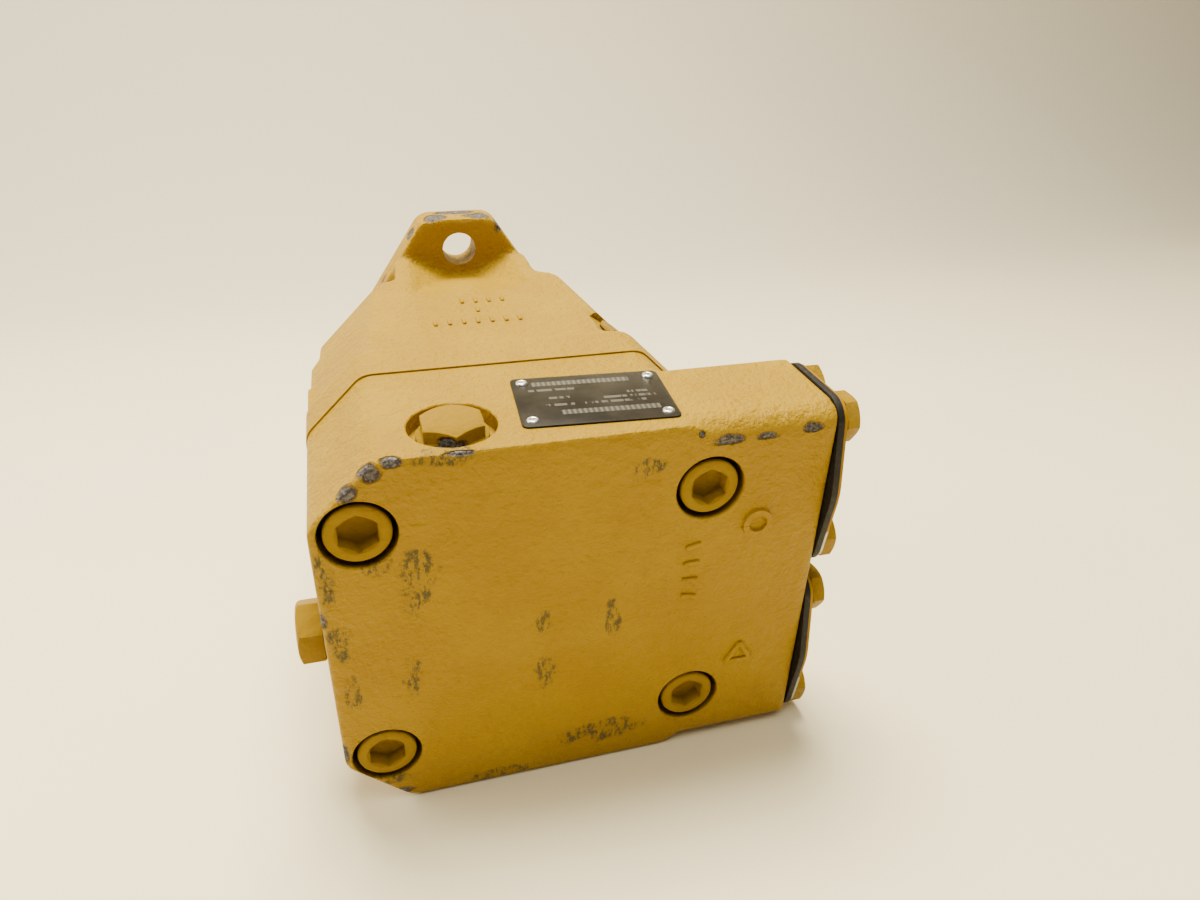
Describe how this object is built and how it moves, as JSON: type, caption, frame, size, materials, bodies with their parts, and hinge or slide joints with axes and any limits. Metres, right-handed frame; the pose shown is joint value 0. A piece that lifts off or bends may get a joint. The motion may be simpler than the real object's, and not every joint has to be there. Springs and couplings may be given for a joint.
{
  "type": "hydraulic motor",
  "caption": "Axial-piston hydraulic motor with a two-bolt mounting flange, splined shaft, side oil ports under bolted covers and a rear port plate.",
  "frame": {"origin": "centre of the pilot in the flange's mounting face, on the shaft axis", "axes": "+Y along the shaft, out of the mounting face; +Z towards the lug beside the nameplate; +X towards the oil ports"},
  "size_m": [0.2241, 0.2812, 0.213],
  "materials": {
    "casting_paint": "yellow enamel over cast iron, chipped and stained",
    "fastener_paint": "yellow enamel over steel, chipped at the corners",
    "cover_plate_paint": "yellow enamel over sheet steel, bare cut edge",
    "gasket_rubber": "matt black",
    "nameplate_foil": "dark printed foil with plain light bars",
    "rivet_steel": "bright",
    "hardened_steel": "ground and polished",
    "shaft_steel": "machined, lightly oiled",
    "ground_steel": "ground",
    "bronze": "machined bronze",
    "spring_steel": "dark oiled"
  },
  "bodies": {
    "motor_case": {"housing": "casting_paint", "port_plate": "casting_paint", "housing_gasket": "gasket_rubber", "port_plate_screws": "fastener_paint", "top_plug": "fastener_paint", "top_plug_o_ring": "gasket_rubber", "side_plug": "fastener_paint", "side_plug_o_ring": "gasket_rubber", "drain_plug": "fastener_paint", "drain_plug_o_ring": "gasket_rubber", "nameplate": "nameplate_foil", "nameplate_rivets": "rivet_steel", "port_cover_a": "cover_plate_paint", "port_cover_b": "cover_plate_paint", "port_gasket_a": "gasket_rubber", "port_gasket_b": "gasket_rubber", "port_bolts_a": "fastener_paint", "port_bolts_b": "fastener_paint", "swash_plate": "hardened_steel", "swash_dowel": "ground_steel", "valve_plate": "bronze", "valve_plate_pin": "ground_steel", "front_bearing_cup": "hardened_steel", "rear_bearing_cup": "hardened_steel", "shaft_seal": "gasket_rubber", "seal_snap_ring": "spring_steel"},
    "rotating_group": {"shaft": "shaft_steel", "front_bearing_cone": "hardened_steel", "rear_bearing_cone": "hardened_steel", "cylinder_block": "ground_steel", "cylinder_sleeves": "bronze", "guide_ball": "hardened_steel", "block_spring": "spring_steel", "spring_washers": "ground_steel", "push_pins": "ground_steel", "block_snap_ring": "spring_steel"},
    "retainer": {"retaining_plate": "ground_steel", "slippers": "bronze"},
    "front_cage": {"front_bearing_cage": "bronze", "front_bearing_rollers": "hardened_steel"},
    "rear_cage": {"rear_bearing_cage": "bronze", "rear_bearing_rollers": "hardened_steel"},
    "piston_1": {"piston_1": "ground_steel"},
    "piston_2": {"piston_2": "ground_steel"},
    "piston_3": {"piston_3": "ground_steel"},
    "piston_4": {"piston_4": "ground_steel"},
    "piston_5": {"piston_5": "ground_steel"},
    "piston_6": {"piston_6": "ground_steel"},
    "piston_7": {"piston_7": "ground_steel"},
    "piston_8": {"piston_8": "ground_steel"},
    "piston_9": {"piston_9": "ground_steel"}
  },
  "joints": [
    {"name": "shaft_spin", "type": "hinge", "parent": "motor_case", "child": "rotating_group", "pos_m": [0, 0, 0], "axis": [0, 1, 0], "continuous": true},
    {"name": "retainer_spin", "type": "hinge", "parent": "motor_case", "child": "retainer", "pos_m": [0, -0.0783, 0], "axis": [-0.2419, 0.9703, 0], "continuous": true},
    {"name": "front_cage_spin", "type": "hinge", "parent": "motor_case", "child": "front_cage", "pos_m": [0, -0.027, 0], "axis": [0, 1, 0], "continuous": true},
    {"name": "rear_cage_spin", "type": "hinge", "parent": "motor_case", "child": "rear_cage", "pos_m": [0, -0.192, 0], "axis": [0, 1, 0], "continuous": true},
    {"name": "piston_1_swivel", "type": "hinge", "parent": "retainer", "child": "piston_1", "pos_m": [0.04235, -0.06774, 0], "axis": [-0.2419, 0.9703, 0], "continuous": true},
    {"name": "piston_2_swivel", "type": "hinge", "parent": "retainer", "child": "piston_2", "pos_m": [0.03244, -0.07021, 0.02806], "axis": [-0.2419, 0.9703, 0], "continuous": true},
    {"name": "piston_3_swivel", "type": "hinge", "parent": "retainer", "child": "piston_3", "pos_m": [0.00735, -0.07647, 0.04299], "axis": [-0.2419, 0.9703, 0], "continuous": true},
    {"name": "piston_4_swivel", "type": "hinge", "parent": "retainer", "child": "piston_4", "pos_m": [-0.02118, -0.08358, 0.0378], "axis": [-0.2419, 0.9703, 0], "continuous": true},
    {"name": "piston_5_swivel", "type": "hinge", "parent": "retainer", "child": "piston_5", "pos_m": [-0.0398, -0.08822, 0.01493], "axis": [-0.2419, 0.9703, 0], "continuous": true},
    {"name": "piston_6_swivel", "type": "hinge", "parent": "retainer", "child": "piston_6", "pos_m": [-0.0398, -0.08822, -0.01493], "axis": [-0.2419, 0.9703, 0], "continuous": true},
    {"name": "piston_7_swivel", "type": "hinge", "parent": "retainer", "child": "piston_7", "pos_m": [-0.02118, -0.08358, -0.0378], "axis": [-0.2419, 0.9703, 0], "continuous": true},
    {"name": "piston_8_swivel", "type": "hinge", "parent": "retainer", "child": "piston_8", "pos_m": [0.00735, -0.07647, -0.04299], "axis": [-0.2419, 0.9703, 0], "continuous": true},
    {"name": "piston_9_swivel", "type": "hinge", "parent": "retainer", "child": "piston_9", "pos_m": [0.03244, -0.07021, -0.02806], "axis": [-0.2419, 0.9703, 0], "continuous": true}
  ],
  "couplings": [
    {"joint": "retainer_spin", "follows": "shaft_spin", "ratio": 1},
    {"joint": "front_cage_spin", "follows": "shaft_spin", "ratio": 0.438},
    {"joint": "rear_cage_spin", "follows": "shaft_spin", "ratio": 0.437},
    {"joint": "piston_1_swivel", "follows": "shaft_spin", "ratio": -1},
    {"joint": "piston_2_swivel", "follows": "shaft_spin", "ratio": -1},
    {"joint": "piston_3_swivel", "follows": "shaft_spin", "ratio": -1},
    {"joint": "piston_4_swivel", "follows": "shaft_spin", "ratio": -1},
    {"joint": "piston_5_swivel", "follows": "shaft_spin", "ratio": -1},
    {"joint": "piston_6_swivel", "follows": "shaft_spin", "ratio": -1},
    {"joint": "piston_7_swivel", "follows": "shaft_spin", "ratio": -1},
    {"joint": "piston_8_swivel", "follows": "shaft_spin", "ratio": -1},
    {"joint": "piston_9_swivel", "follows": "shaft_spin", "ratio": -1}
  ]
}
